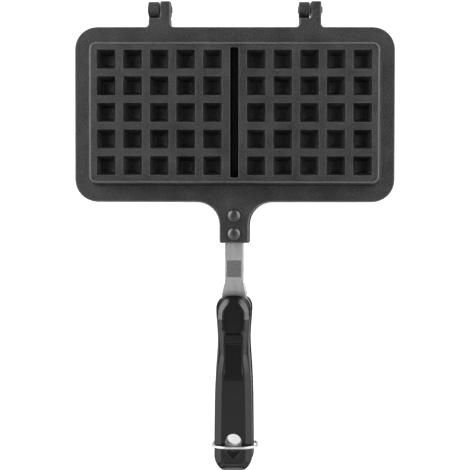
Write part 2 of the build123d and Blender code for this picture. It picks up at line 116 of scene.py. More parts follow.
class Shell:
    """Patches of points that are welded into one closed surface. Each point also carries a mask from 0 to
    1, stored as a point attribute. On the pans it says how far the coating has rubbed away at the rims,
    which also paints a highlight along them. On the wire it marks the side where a highlight is painted."""

    def __init__(self):
        self.points, self.faces, self.worn, self.count = [], [], [], 0

    def _add(self, points, faces, worn):
        self.points.append(points)
        self.worn.append(worn)
        self.faces.extend((faces + self.count).tolist())
        self.count += len(points)

    def grid(self, points, wrap=False, keep=None, worn=0.0):
        """Quads between neighbouring points of a rows x columns grid, or of a stack of such grids; the mask
        of rubbed rims and painted highlight is one value for each point or row, or one for all."""
        rows, cols = points.shape[-3:-1]
        row, col = np.arange(rows - 1)[:, None], np.arange(cols - (not wrap))[None, :]
        after = (col + 1) % cols
        quads = np.stack([row * cols + col, row * cols + after,
                          (row + 1) * cols + after, (row + 1) * cols + col], -1)
        quads = (quads if keep is None else quads[keep]).reshape(-1, 4)
        stack = points.reshape(-1, rows * cols, 3)
        shift = np.arange(len(stack))[:, None, None] * rows * cols
        worn = np.asarray(worn, float)
        worn = np.broadcast_to(worn[:, None] if worn.ndim == 1 else worn, (rows, cols)).ravel()
        self._add(stack.reshape(-1, 3), (quads[None] + shift).reshape(-1, 4), np.tile(worn, len(stack)))

    def flat(self, loops, z):
        """Triangles of the plane at height z inside the first loop and outside the others."""
        rings = [level(loop, z) for loop in loops]
        found = tessellate_polygon([[tuple(p) for p in ring] for ring in rings])
        points = np.concatenate(rings)
        self._add(points, np.array(found), np.zeros(len(points)))

    def piece(self, name, half, sharp_deg=38):
        """One welded, smooth-shaded object with its faces turned outwards."""
        mesh = bpy.data.meshes.new(name)
        mesh.from_pydata(seat(np.concatenate(self.points), half).tolist(), [], self.faces)
        # mask of rubbed rims and painted highlight, kept as a point attribute
        mask = mesh.attributes.new("worn", "FLOAT", "POINT")
        mask.data.foreach_set("value", np.concatenate(self.worn))
        solid = bmesh.new()
        solid.from_mesh(mesh)
        bmesh.ops.remove_doubles(solid, verts=solid.verts, dist=2e-6)
        bmesh.ops.dissolve_degenerate(solid, dist=1e-7, edges=solid.edges)
        bmesh.ops.recalc_face_normals(solid, faces=solid.faces)
        solid.to_mesh(mesh)
        solid.free()
        mesh.shade_smooth()
        mesh.set_sharp_from_angle(angle=math.radians(sharp_deg))
        piece = bpy.data.objects.new(name, mesh)
        bpy.context.scene.collection.objects.link(piece)
        weighted = piece.modifiers.new("flat faces rule the shading", "WEIGHTED_NORMAL")
        weighted.keep_sharp = True
        return piece


def level(loop, z):
    """A loop of (x, y) at height z."""
    return np.column_stack([loop, np.full(len(loop), float(z))])


def rounded(corners, radii, steps=6):
    """Polyline through (n, 2) corners, each inner corner an arc of its radius between tangents."""
    corners = np.asarray(corners, float)
    out = [corners[:1]]
    for at, radius in zip(range(1, len(corners) - 1), radii):
        out.append(arc(corners[at - 1], corners[at], corners[at + 1], radius, steps))
    return np.concatenate(out + [corners[-1:]])


def arc(before, corner, after, radius, steps):
    """Arc that rounds one corner: from its first tangent point to its second in equal turns."""
    e1, e2 = corner - before, after - corner
    e1, e2 = e1 / np.hypot(*e1), e2 / np.hypot(*e2)
    turn = math.atan2(e1[0] * e2[1] - e1[1] * e2[0], e1 @ e2)
    start = corner - e1 * radius * math.tan(abs(turn) / 2)
    side = np.array([-e1[1], e1[0]]) * math.copysign(radius, turn)
    angles = np.linspace(0, turn, steps + 1)[:, None]
    spun = -side * np.cos(angles) + np.array([side[1], -side[0]]) * np.sin(angles)
    return start + side + spun


def rounded_loop(corners, radii, offset=0.0, steps=6):
    """Closed outline, anticlockwise, moved outwards by offset: edges shift along their normals,
    outer corners gain the offset in radius and inner corners lose it."""
    corners = np.asarray(corners, float)
    before, after = np.roll(corners, 1, 0), np.roll(corners, -1, 0)
    e1 = (corners - before) / np.linalg.norm(corners - before, axis=1)[:, None]
    e2 = (after - corners) / np.linalg.norm(after - corners, axis=1)[:, None]
    n1, n2 = e1[:, ::-1] * [1, -1], e2[:, ::-1] * [1, -1]
    moved = corners + offset * (n1 + n2) / (1 + (n1 * n2).sum(1))[:, None]
    convex = np.sign(e1[:, 0] * e2[:, 1] - e1[:, 1] * e2[:, 0])
    radii = np.maximum(np.asarray(radii, float) + offset * convex, 0.02)
    trio = zip(np.roll(moved, 1, 0), moved, np.roll(moved, -1, 0), radii)
    return np.concatenate([arc(a, b, c, r, steps) for a, b, c, r in trio])


def box_loop(a, b, r, along=(1, 1), corner=5, centre=0.0):
    """Loops round rectangles of half sizes a and b with corner radius r, one per row: a point is
    the inner rectangle's edge point plus r times the outward direction there."""
    a, b, r, centre = (np.atleast_1d(np.asarray(v, float))[:, None] for v in (a, b, r, centre))
    r = np.minimum(r, np.minimum(a, b))
    ux, uy, angle = [], [], []
    corners = [(1, -1), (1, 1), (-1, 1), (-1, -1)]
    for side, steps in enumerate((along[1], along[0]) * 2):
        (x0, y0), (x1, y1) = corners[side], corners[(side + 1) % 4]
        t = np.arange(steps) / steps
        ux += [x0 + (x1 - x0) * t, np.full(corner, x1)]
        uy += [y0 + (y1 - y0) * t, np.full(corner, y1)]
        angle += [np.full(steps, side * math.pi / 2), (side + np.arange(corner) / corner) * math.pi / 2]
    ux, uy, angle = (np.concatenate(v)[None] for v in (ux, uy, angle))
    x = centre + ux * (a - r) + r * np.cos(angle)
    return np.stack(np.broadcast_arrays(x, uy * (b - r) + r * np.sin(angle)), -1)


def raised(loops, z):
    """Loops of (x, y), one per row, lifted to one height per row."""
    z = np.broadcast_to(np.asarray(z, float)[:, None], loops.shape[:2])
    return np.concatenate([loops, z[..., None]], -1)


def raised_by(flat, z):
    """Points of (x, y), each with its own height."""
    return np.concatenate([flat, z[..., None]], -1)


def turned(profile, centre, axis="z", steps=32):
    """Surface of revolution: a profile of (radius, height) turned about an axis through centre."""
    angle = np.linspace(0, 2 * math.pi, steps, endpoint=False)[None]
    r, h = profile[:, :1], np.broadcast_to(profile[:, 1:], (len(profile), steps))
    around = [r * np.cos(angle), r * np.sin(angle)]
    order = [h, *around] if axis == "x" else [*around, h]
    return np.stack(order, -1) + np.asarray(centre, float)


# ---- castings -------------------------------------------------------------------------------------
def cell_centres():
    """(x, y, 0) of every pocket of one pan."""
    step = (np.arange(COUNT) - (COUNT - 1) / 2) * PITCH
    x, y = np.meshgrid(np.concatenate([step - GRID_X, step + GRID_X]), step, indexing="ij")
    return np.stack([x, y, 0 * x], -1).reshape(-1, 1, 1, 3)


def rim_wear_and_highlight(z, top, radius):
    """How much a rounded rim is lightened, as rubbed coating and as a painted highlight along it: most in
    the middle of its curve, none on the flats beside it.
    """
    return np.clip(1 - np.abs(np.abs(z - top) / (0.3 * radius) - 1), 0, 1)


def cells(shell, mouth, floor, outside_z, inside_z, rim_r, root_r):
    """Square hollows or pegs on the grid. Each cell runs from its square boundary over a rounded
    rim, down or up a tapered wall and a rounded root to its middle; every ring is a square whose
    corner radius follows its size."""
    corners = [(PITCH / 2, outside_z), (mouth, outside_z), (floor, inside_z), (0, inside_z)]
    profile = rounded(corners, [rim_r, root_r], 5)
    profile = np.insert(profile, len(profile) - 1, [[floor * 0.5, inside_z]], 0)
    half, z = profile[:, 0], profile[:, 1]
    r = np.interp(half, [0, floor, mouth, mouth + rim_r], [0, POCKET_CORNER_R, POCKET_CORNER_R * 1.2,
                                                           POCKET_CORNER_R * 1.8])
    r[0] = 0
    ring = raised(box_loop(half, half, r, (2, 2), 5), z)
    shell.grid(ring[None] + cell_centres(), wrap=True, worn=rim_wear_and_highlight(z, outside_z, rim_r))


def grid_loop(side):
    """Edge of one waffle's grid of cells, with the cells' own points."""
    half = COUNT * PITCH / 2
    return box_loop(half, half, 0, (2 * COUNT, 2 * COUNT), 1, centre=side * GRID_X)[0]


def flange_corners():
    """Outline of the flange with its tongue and tabs, anticlockwise, and each corner's radius."""
    left, right = -HANDLE_OFFSET - TONGUE_W / 2, -HANDLE_OFFSET + TONGUE_W / 2
    end, lug_end, wall = -PLATE_B - TONGUE_L, AXIS_Y + LUG_R, AXIS_Y - LUG_R - NOTCH_CLEAR
    outline = [(-PLATE_A, -PLATE_B, PLATE_R), (left, -PLATE_B, TONGUE_ROOT_R),
               (left, end, TONGUE_END_R), (right, end, TONGUE_END_R),
               (right, -PLATE_B, TONGUE_ROOT_R), (PLATE_A, -PLATE_B, PLATE_R),
               (PLATE_A, PLATE_B, PLATE_R)]
    for x in (TAB_SPAN / 2, -TAB_SPAN / 2):
        outer, inner, far = x + TAB_W / 2, x + LUG_GAP / 2, x - TAB_W / 2
        outline += [(outer, PLATE_B, TAB_ROOT_R), (outer, lug_end, LUG_EDGE_R),
                    (inner, lug_end, LUG_EDGE_R), (inner, wall, NOTCH_CORNER_R),
                    (far, wall, LUG_EDGE_R), (far, PLATE_B, TAB_ROOT_R)]
    outline += [(-PLATE_A, PLATE_B, PLATE_R)]
    table = np.array(outline)
    return table[:, :2], table[:, 2]


def outer_side(shell):
    """Raised block with its pockets and groove, standing on the flange."""
    cells(shell, POCKET_W / 2, POCKET_FLOOR_W / 2, PAN_DEPTH, PAN_DEPTH - POCKET_DEPTH,
          POCKET_RIM_R, POCKET_ROOT_R)
    length = BLOCK_B - SLOT_END
    shrink = (PAN_DEPTH - SLOT_FLOOR_T) * math.tan(SLOT_DRAFT)
    walls = rounded([(1.2, PAN_DEPTH), (0, PAN_DEPTH), (-shrink, SLOT_FLOOR_T), (-2.2, SLOT_FLOOR_T)],
                    [0.5, 0.8], 5)
    groove = box_loop(SLOT_W / 2 + walls[:, 0], length + walls[:, 0], SLOT_CORNER_R + walls[:, 0] * 0.3)
    shell.grid(raised(groove, walls[:, 1]), wrap=True, worn=rim_wear_and_highlight(walls[:, 1], PAN_DEPTH, 0.5))
    shell.flat([groove[-1]], SLOT_FLOOR_T)
    spread = (PAN_DEPTH - FLANGE_T) * math.tan(BLOCK_DRAFT)
    side = rounded([(-2.4, PAN_DEPTH), (0, PAN_DEPTH), (spread, FLANGE_T), (spread + 2.6, FLANGE_T)],
                   [BLOCK_EDGE_R, BLOCK_ROOT_R], 7)
    block = box_loop(BLOCK_A + side[:, 0], BLOCK_B + side[:, 0], BLOCK_R + side[:, 0], (1, 1), 9)
    shell.grid(raised(block, side[:, 1]), wrap=True, worn=rim_wear_and_highlight(side[:, 1], PAN_DEPTH, BLOCK_EDGE_R))
    shell.flat([block[0], groove[0], grid_loop(-1), grid_loop(1)], PAN_DEPTH)
    return block[-1]


def mating_side(shell):
    """The two hollows that hold the batter, with their pegs."""
    base = POCKET_W / 2 - (PAN_DEPTH - CAVITY_DEPTH) * POCKET_SLOPE + WALL_X
    tip = POCKET_W / 2 - (PAN_DEPTH - PEG_GAP) * POCKET_SLOPE + WALL_X
    cells(shell, base, tip, CAVITY_DEPTH, PEG_GAP, PEG_ROOT_R, PEG_RIM_R)
    wall = rounded([(1.5, HALF_GAP), (0, HALF_GAP), (0, CAVITY_DEPTH), (-1.6, CAVITY_DEPTH)],
                   [CAVITY_RIM_R, CAVITY_ROOT_R], 5)
    rise = np.clip(wall[:, 1], HALF_GAP, CAVITY_DEPTH)
    reach = (PAN_DEPTH - rise) * math.tan(BLOCK_DRAFT) - WALL_T / math.cos(BLOCK_DRAFT)
    outer, long = BLOCK_A + reach + wall[:, 0], BLOCK_B + reach + wall[:, 0]
    inner = SLOT_W / 2 + WALL_T - (PAN_DEPTH - rise) * math.tan(SLOT_DRAFT) - wall[:, 0]
    mouths = []
    for side in (-1, 1):
        hollow = box_loop((outer - inner) / 2, long, 3 + wall[:, 0], (1, 1), 6,
                          centre=side * (outer + inner) / 2)
        shell.grid(raised(hollow, wall[:, 1]), wrap=True)
        shell.flat([hollow[-1], grid_loop(side)], CAVITY_DEPTH)
        mouths.append(hollow[0])
    return mouths


def rim(shell, block_foot, mouths):
    """Flange: its outer face, rounded edge all round the outline, and mating face."""
    corners, radii = flange_corners()
    lean = (FLANGE_T - HALF_GAP) * math.tan(EDGE_DRAFT)
    edge = rounded([(-FLANGE_EDGE_R - lean - 0.3, FLANGE_T), (-lean, FLANGE_T), (0, HALF_GAP),
                    (-MATE_EDGE_R - 0.3, HALF_GAP)], [FLANGE_EDGE_R, MATE_EDGE_R], 6)
    loops = np.stack([rounded_loop(corners, radii, offset, 8) for offset in edge[:, 0]])
    shell.grid(raised(loops, edge[:, 1]), wrap=True, worn=rim_wear_and_highlight(edge[:, 1], FLANGE_T, FLANGE_EDGE_R))
    shell.flat([loops[0], block_foot], FLANGE_T)
    shell.flat([loops[-1], *mouths], HALF_GAP)


def lug_barrels(shell):
    """Round side of each lug: a half circle about the pin, closed inside the flange's thickness."""
    angle = np.linspace(math.pi, 2 * math.pi, 25)
    for x in (-TAB_SPAN / 2, TAB_SPAN / 2):
        start, end = x + LUG_GAP / 2, x + TAB_W / 2
        ends = rounded([(start, LUG_R - 3), (start, LUG_R), (end, LUG_R), (end, LUG_R - 3)],
                       [0.9, 0.9], 5)
        radius = ends[:, 1][:, None]
        y = np.column_stack([AXIS_Y + radius * np.cos(angle)[None], AXIS_Y + 0.9 * radius,
                             AXIS_Y - 0.9 * radius])
        z = np.column_stack([radius * np.sin(angle)[None], 0.4 * radius, 0.4 * radius])
        rows = np.stack([np.broadcast_to(ends[:, :1], y.shape), y, z], -1)
        shell.grid(rows, wrap=True)
        for row in (rows[0], rows[-1]):
            shell.grid(np.stack([row, np.broadcast_to(row.mean(0), row.shape)]), wrap=True)


def pan(half):
    shell = Shell()
    rim(shell, outer_side(shell), mating_side(shell))
    lug_barrels(shell)
    return shell.piece(f"{half}_cast_pan", half)


# ---- strap, rivets and pins -----------------------------------------------------------------------
def egg(grow=0.0, steps=48):
    """Hang hole's outline grown by a distance: for each direction, the furthest of the points that
    its large and its small circle reach that way."""
    angle = np.linspace(0, 2 * math.pi, steps, endpoint=False) + 1e-3
    normal = np.column_stack([np.cos(angle), np.sin(angle)])
    big = np.array([-GRIP_OFFSET, HOLE_Y]) + (HOLE_R + grow) * normal
    small = np.array([-GRIP_OFFSET, HOLE_Y - HOLE_RUN]) + (HOLE_SMALL_R + grow) * normal
    return np.where(((big - small) * normal).sum(1)[:, None] > 0, big, small)


def circle(x, y, radius, steps=32):
    angle = np.linspace(0, 2 * math.pi, steps, endpoint=False)
    return np.column_stack([x + radius * np.cos(angle), y + radius * np.sin(angle)])


def strap_loop(offset):
    """Strap's outline, anticlockwise: narrow neck, flare at the grip's front, eye round the hole."""
    half, wide, start = TANG_W / 2, TANG_WIDE_W / 2, -PLATE_B - TANG_START
    eye, tip = HOLE_R + EYE_WALL, HOLE_Y - HOLE_RUN - HOLE_SMALL_R - EYE_WALL
    neck = GRIP_Y - WIDE_L
    right = [(half, start, 0.6), (half, GRIP_Y + FLARE_L, 12), (wide, GRIP_Y, 12), (wide, neck, 8),
             (half, neck - NECK_L, 8), (half, HOLE_Y + 13, 5), (eye, HOLE_Y + 6, 6),
             (eye, HOLE_Y - 3, 12), (8.0, tip, 6.5)]
    table = np.array([(-x, y, r) for x, y, r in right] + right[::-1])
    table[:, 0] -= np.where(table[:, 1] > HOLE_Y + 14, HANDLE_OFFSET, GRIP_OFFSET)
    return rounded_loop(table[:, :2], table[:, 2], offset, 6)


def strap(half):
    """Flat steel strap: rounded edge round the outline, straight walls in its eye."""
    shell = Shell()
    low, high = HALF_GAP - 0.01, HALF_GAP + TANG_T
    edge = rounded([(-0.8, high), (0, high), (0, low), (-0.8, low)], [TANG_EDGE_R, TANG_EDGE_R], 4)
    loops = np.stack([strap_loop(offset) for offset in edge[:, 0]])
    shell.grid(raised(loops, edge[:, 1]), wrap=True)
    screw = circle(-HANDLE_OFFSET, GRIP_Y - SCREW_AT, SCREW_HEAD_D / 2 + 0.05)
    eye = circle(-GRIP_OFFSET, HOLE_Y, HOLE_R, 48)
    for hole in (eye, screw):
        shell.grid(raised(np.stack([hole, hole]), [high, low]), wrap=True)
    for loop, z in ((loops[0], high), (loops[-1], low)):
        shell.flat([loop, eye, screw], z)
    return shell.piece(f"{half}_steel_strap", half)


def rivet(half, which):
    """Domed rivet: a shallow ball cap with a small flat brim, and a flush peened end."""
    shell = Shell()
    reach = np.linspace(0, 1, 12)
    cap = np.column_stack([RIVET_HEAD_D / 2 * np.sin(reach * math.pi / 2),
                           FLANGE_T + 0.25 + (RIVET_HEAD_H - 0.25) * np.cos(reach * math.pi / 2)])
    shank = [(RIVET_HEAD_D / 2, FLANGE_T - 0.1), (2.5, FLANGE_T - 0.1), (2.5, HALF_GAP + 1.2),
             (PEEN_D / 2, HALF_GAP), (PEEN_D / 2 - 0.3, HALF_GAP - 0.05), (0, HALF_GAP - 0.05)]
    y = -PLATE_B - RIVET_AT - which * RIVET_PITCH
    shell.grid(turned(np.concatenate([cap, shank]), (-HANDLE_OFFSET, y, 0), steps=40), wrap=True)
    return shell.piece(f"{half}_{('front', 'rear')[which]}_dome_rivet", half)


def hinge_pin(side):
    """Headed pin: each head is a disc with a rounded rim."""
    x, r, head = side * TAB_SPAN / 2, PIN_D / 2, PIN_HEAD_D / 2
    a, b = x - TAB_W / 2, x + TAB_W / 2 + PIN_PLAY
    shell = Shell()
    left = rounded([(0, a - PIN_HEAD_T), (head, a - PIN_HEAD_T), (head, a), (r, a)], [0.45, 0.1], 5)
    right = left[::-1] * [1, -1] + [0, a + b]
    profile = np.concatenate([left, right])
    shell.grid(turned(profile, (0, AXIS_Y, 0), "x", 28), wrap=True)
    return shell.piece(("left", "right")[side > 0] + "_pin", "upper")


# ---- grips ----------------------------------------------------------------------------------------
def grip_half_width(s):
    """Half width at a distance from the front: a bowed front, an arc round each of its corners,
    cubic pieces through the waist and belly, and a round end."""
    front, end = GRIP_FRONT_W / 2, GRIP_REAR_W / 2
    bow_r = (front**2 + FRONT_BOW**2) / (2 * FRONT_BOW)
    corner_x = front - FRONT_CORNER_R
    corner_s = bow_r - math.sqrt((bow_r - FRONT_CORNER_R) ** 2 - corner_x**2)
    meet = bow_r - (bow_r - corner_s) * bow_r / (bow_r - FRONT_CORNER_R)
    bow = np.sqrt(np.clip(bow_r**2 - (bow_r - s) ** 2, 0, None))
    corner = corner_x + np.sqrt(np.clip(FRONT_CORNER_R**2 - (s - corner_s) ** 2, 0, None))
    at = np.array([corner_s, WAIST_AT, BELLY[0][0], BELLY[1][0], GRIP_L - end])
    half = np.array([front, WAIST_W / 2, BELLY[0][1] / 2, BELLY[1][1] / 2, end])
    slope = np.array([0, 0, (half[3] - half[1]) / (at[3] - at[1]),
                      (half[4] - half[2]) / (at[4] - at[2]) / 2, 0])
    i = np.clip(np.searchsorted(at, s) - 1, 0, len(at) - 2)
    run = at[i + 1] - at[i]
    t = np.clip((s - at[i]) / run, 0, 1)
    middle = ((2 * t**3 - 3 * t**2 + 1) * half[i] + (t**3 - 2 * t**2 + t) * run * slope[i]
              + (3 * t**2 - 2 * t**3) * half[i + 1] + (t**3 - t**2) * run * slope[i + 1])
    back = np.sqrt(np.clip(end**2 - (s - GRIP_L + end) ** 2, 0, None))
    return np.select([s < meet, s < corner_s, s > GRIP_L - end], [bow, corner, back], middle)


def edge_distance(x, s):
    """Distance in from the grip's outline, taken as many short straight pieces."""
    run = GRIP_L * (1 - np.cos(np.linspace(0, math.pi, 181))) / 2
    line = np.column_stack([grip_half_width(run), run])
    start, step = line[:-1], np.diff(line, axis=0)
    away = np.stack([np.abs(x), s], -1)[..., None, :] - start
    t = np.clip((away * step).sum(-1) / (step**2).sum(-1), 0, 1)
    return np.linalg.norm(away - t[..., None] * step, axis=-1).min(-1)


def ease(t):
    """0 below 0, 1 above 1, smooth between."""
    t = np.clip(t, 0, 1)
    return t * t * (3 - 2 * t)


def soft_min(a, b, width):
    """The smaller of two heights, blended over a width where they cross."""
    t = np.clip(0.5 + (b - a) / (2 * width), 0, 1)
    return b * (1 - t) + a * t - width * t * (1 - t)


def past(u, soft=0.35):
    """How far u is past zero, with a rounded start."""
    return np.where(u < soft, np.clip(u + soft, 0, None) ** 2 / (4 * soft), u)


def recess_top(x, s):
    """Height of the thumb and palm recesses' floors and walls, and the flat top outside them. The
    thumb recess starts with a parabolic arch."""
    arch, back = THUMB_W / 2, THUMB_AT + THUMB_L
    ahead = np.clip(1 - (s - THUMB_AT) / ARCH_L, 0, 1)
    nose = ARCH_SLANT * (arch * (1 - ahead**2) - np.abs(x))
    corner = THUMB_CORNER_R - np.hypot(np.clip(np.abs(x) - arch + THUMB_CORNER_R, 0, None),
                                       np.clip(s - back + THUMB_CORNER_R, 0, None))
    thumb = ease(np.where(s < THUMB_AT + ARCH_L, nose, np.minimum(corner, back - s)) / RECESS_WALL)
    palm = back + RIB_L
    inside = np.minimum(PALM_W / 2 - np.abs(x), s - palm)
    palm_floor = np.clip(1 - (s - palm) / PALM_L, 0, 1)
    return GRIP_T - THUMB_D * np.maximum(thumb, ease(inside / RECESS_WALL) * palm_floor)


def grip_top(x, s):
    """Height of the grip's outer face: a flat top with three bands round it, each steeper than the
    one inside it and each of its own width along the grip. They run round the front as a horseshoe,
    and the end is cut back to the bail's swing."""
    nose = GRIP_FRONT_W / 2 - np.hypot(x, s - HORSESHOE_AT)
    straight = ease((s - HORSESHOE_AT + HORSESHOE_BLEND / 2) / HORSESHOE_BLEND)
    distance = nose * (1 - straight) + (edge_distance(x, s) - GRIP_DRAFT) * straight
    facet, dark, rim = (np.interp(s, BAND_AT, widths) for widths in (FACET_W, BEVEL_W, RIM_W))
    inward = facet + dark + rim - distance
    slopes = [math.tan(math.radians(angle)) for angle in BAND_ANGLES]
    drop = slopes[0] * past(inward) + (slopes[1] - slopes[0]) * past(inward - facet)
    drop = drop + (slopes[2] - slopes[1]) * past(inward - facet - dark)
    swing = PIVOT_DROP + CROSSBAR_Z - WIRE_D / 2 - SWING_CLEAR
    behind = np.clip(s - (GRIP_L - BAIL_FROM_END), 0, None)
    end = np.sqrt(np.clip(swing**2 - behind**2, 0, None)) - PIVOT_DROP
    return np.minimum(soft_min(GRIP_T - drop, end, END_BLEND), recess_top(x, s))


def hole_ring(points):
    """For points round the hang hole, the hole's edge points in the same directions."""
    centre = np.array([0.0, HOLE_Y - 3.0])
    edge = egg(steps=720) + [GRIP_OFFSET, 0] - centre
    angle = np.arctan2(edge[:, 1], edge[:, 0])
    order = np.argsort(angle)
    asked = np.arctan2(points[:, 1] - centre[1], points[:, 0] - centre[0])
    reach = np.interp(asked, angle[order], np.hypot(edge[:, 0], edge[:, 1])[order], period=2 * math.pi)
    away = np.column_stack([np.cos(asked), np.sin(asked)])
    return centre + reach[:, None] * away, away


def grip(half):
    """Outer face as a height over the outline, sides that lean in by the draft, a rounded foot, a
    flat mating face, and the hang hole let in as rings between its edge and a block of the grid."""
    rows, cols, shift = 300, 88, np.array([-GRIP_OFFSET, 0, 0])
    part = np.linspace(0, 1, rows + 1)
    s = GRIP_L * (part - 0.28 * np.sin(2 * math.pi * part) / (2 * math.pi))
    across = np.linspace(-1, 1, cols + 1)[None]
    spread = 0.3 * np.sin(across * math.pi / 2) + 0.7 * across
    top_x = (grip_half_width(s) * (1 - 2 * GRIP_DRAFT / GRIP_FRONT_W))[:, None] * spread
    top_s = np.broadcast_to((GRIP_DRAFT + s * (1 - 2 * GRIP_DRAFT / GRIP_L))[:, None], top_x.shape)
    y = GRIP_Y - top_s
    inside = (y < HOLE_Y + 9.5) & (y > HOLE_Y - HOLE_RUN - 6) & (np.abs(spread) < 0.62)
    block = np.argwhere(inside)
    (r0, c0), (r1, c1) = block.min(0), block.max(0)
    row, col = np.arange(rows)[:, None], np.arange(cols)[None]
    keep = ~((row >= r0) & (row < r1) & (col >= c0) & (col < c1))
    shell = Shell()
    top = np.stack([top_x, y, grip_top(top_x, top_s)], -1)
    shell.grid(top + shift, keep=keep)
    inset = np.array([0.0, 0.0, 0.1, 0.3]) * GRIP_FOOT_R / 0.3
    foot_z = HALF_GAP + np.array([1.0, 0.3, 0.1, 0.0]) * GRIP_FOOT_R
    for side in (-1, 1):
        foot = np.stack([np.column_stack([side * grip_half_width(s) * (1 - 2 * i / GRIP_FRONT_W),
                                          GRIP_Y - i - s * (1 - 2 * i / GRIP_L), np.full(rows + 1, z)])
                         for i, z in zip(inset, foot_z)], 1)
        edge = top[:, 0 if side < 0 else -1][:, None]
        t = np.linspace(0, 1, 7)[None, :-1, None]
        shell.grid(np.concatenate([edge * (1 - t) + foot[:, :1] * t, foot], 1) + shift)
    walk = [(r0, c) for c in range(c0, c1)] + [(r, c1) for r in range(r0, r1)]
    walk += [(r1, c) for c in range(c1, c0, -1)] + [(r, c0) for r in range(r1, r0, -1)]
    at = tuple(np.array(walk).T)
    outer = np.column_stack([top_x[at], y[at]])
    inner, away = hole_ring(outer)
    t = np.linspace(0, 1, 9)[:, None, None]
    ring = outer * (1 - t) + (inner + HOLE_CHAMFER * away) * t
    face = raised_by(ring, grip_top(ring[..., 0], GRIP_Y - ring[..., 1]))
    turn = np.linspace(0, math.pi / 2, 6)[1:, None]
    lip = raised_by(inner + away * HOLE_CHAMFER * (1 - np.sin(turn[..., None])),
                    face[-1, :, 2] - HOLE_CHAMFER * (1 - np.cos(turn)))
    wall = raised_by(np.stack([inner, inner]), np.stack([lip[-1, :, 2], np.full(len(inner), HALF_GAP)]))
    for patch in (face, np.concatenate([face[-1:], lip]), wall):
        shell.grid(patch + shift, wrap=True)
    outline = np.concatenate([foot[:, -1, :2] * [-1, 1], foot[-2:0:-1, -1, :2]]) + shift[:2]
    shell.flat([outline, inner + shift[:2]], HALF_GAP)
    return shell.piece(f"{half}_moulded_grip", half, 60)


# ---- bail -----------------------------------------------------------------------------------------
def bail():
    """Round wire along a rounded path: each ring is the path point plus the wire's radius times the
    in-plane normal and the Y axis; both ends close on small domes. The whole is then turned about its feet
    by the locked bail's lean. The mask is a painted highlight, not wear: it marks the crossbar's side that
    faces away from the feet, which the material paints near white."""
    foot_x = GRIP_REAR_W / 2 - FOOT_REACH
    side = [(foot_x, -PIVOT_DROP), (LEG_X, -PIVOT_DROP), (LEG_X, CROSSBAR_Z)]
    corners = np.array(side + [(-x, z) for x, z in reversed(side)])
    path = rounded(corners, [BAIL_FOOT_R, BAIL_CORNER_R, BAIL_CORNER_R, BAIL_FOOT_R], 20)
    tangent = np.gradient(path, axis=0)
    tangent /= np.linalg.norm(tangent, axis=1)[:, None]
    dome = np.sin(np.linspace(0, math.pi / 2, 5))[:-1]
    path = np.concatenate([path[:1].repeat(4, 0), path, path[-1:].repeat(4, 0)])
    tangent = np.concatenate([tangent[:1].repeat(4, 0), tangent, tangent[-1:].repeat(4, 0)])
    radius = np.concatenate([dome, np.ones(len(path) - 8), dome[::-1]])[:, None] * WIRE_D / 2
    back = np.sqrt(np.clip(1 - (2 * radius / WIRE_D) ** 2, 0, 1)) * 0.4 - 0.4
    inward = np.concatenate([np.ones(len(path) // 2), -np.ones(len(path) - len(path) // 2)])[:, None]
    path = path - tangent * back * inward * (radius < WIRE_D / 2)
    angle = np.linspace(0, 2 * math.pi, 20, endpoint=False)[None]
    x = path[:, :1] - radius * np.cos(angle) * tangent[:, 1:]
    z = path[:, 1:] + radius * np.cos(angle) * tangent[:, :1] + PIVOT_DROP
    y = radius * np.sin(angle)
    turn, lift = math.sin(BAIL_LEAN), math.cos(BAIL_LEAN)
    # painted highlight: the wire's side facing away from its feet is marked to be painted near white
    painted_highlight = np.clip(HIGHLIGHT_PAINT_GAIN * np.cos(angle) * tangent[:, :1] - HIGHLIGHT_PAINT_FROM, 0, 1)
    shell = Shell()
    leaning = [x + GRIP_OFFSET, BAIL_Y + y * lift + z * turn, z * lift - y * turn - PIVOT_DROP]
    shell.grid(np.stack(leaning, -1), wrap=True, worn=painted_highlight)
    return shell.piece("wire_bail", "upper")


# ---- materials ------------------------------------------------------------------------------------
def group(name, inputs, outputs):
    """An empty node group with its input and output sockets."""
    tree = bpy.data.node_groups.new(name, "ShaderNodeTree")
    for label, kind, value in inputs:
        socket = tree.interface.new_socket(name=label, in_out="INPUT", socket_type=kind)
        if value is not None:
            socket.default_value = value
    for label, kind in outputs:
        tree.interface.new_socket(name=label, in_out="OUTPUT", socket_type=kind)
    return tree, tree.nodes.new("NodeGroupInput"), tree.nodes.new("NodeGroupOutput")


def node(tree, kind, links=None, **values):
    """A node with its properties set, its input sockets filled and other sockets linked in."""
    made = tree.nodes.new(kind)
    for key, value in values.items():
        setattr(made, key, value)
    for label, source in (links or {}).items():
        if isinstance(source, bpy.types.NodeSocket):
            tree.links.new(source, made.inputs[label])
        else:
            made.inputs[label].default_value = source
    return made


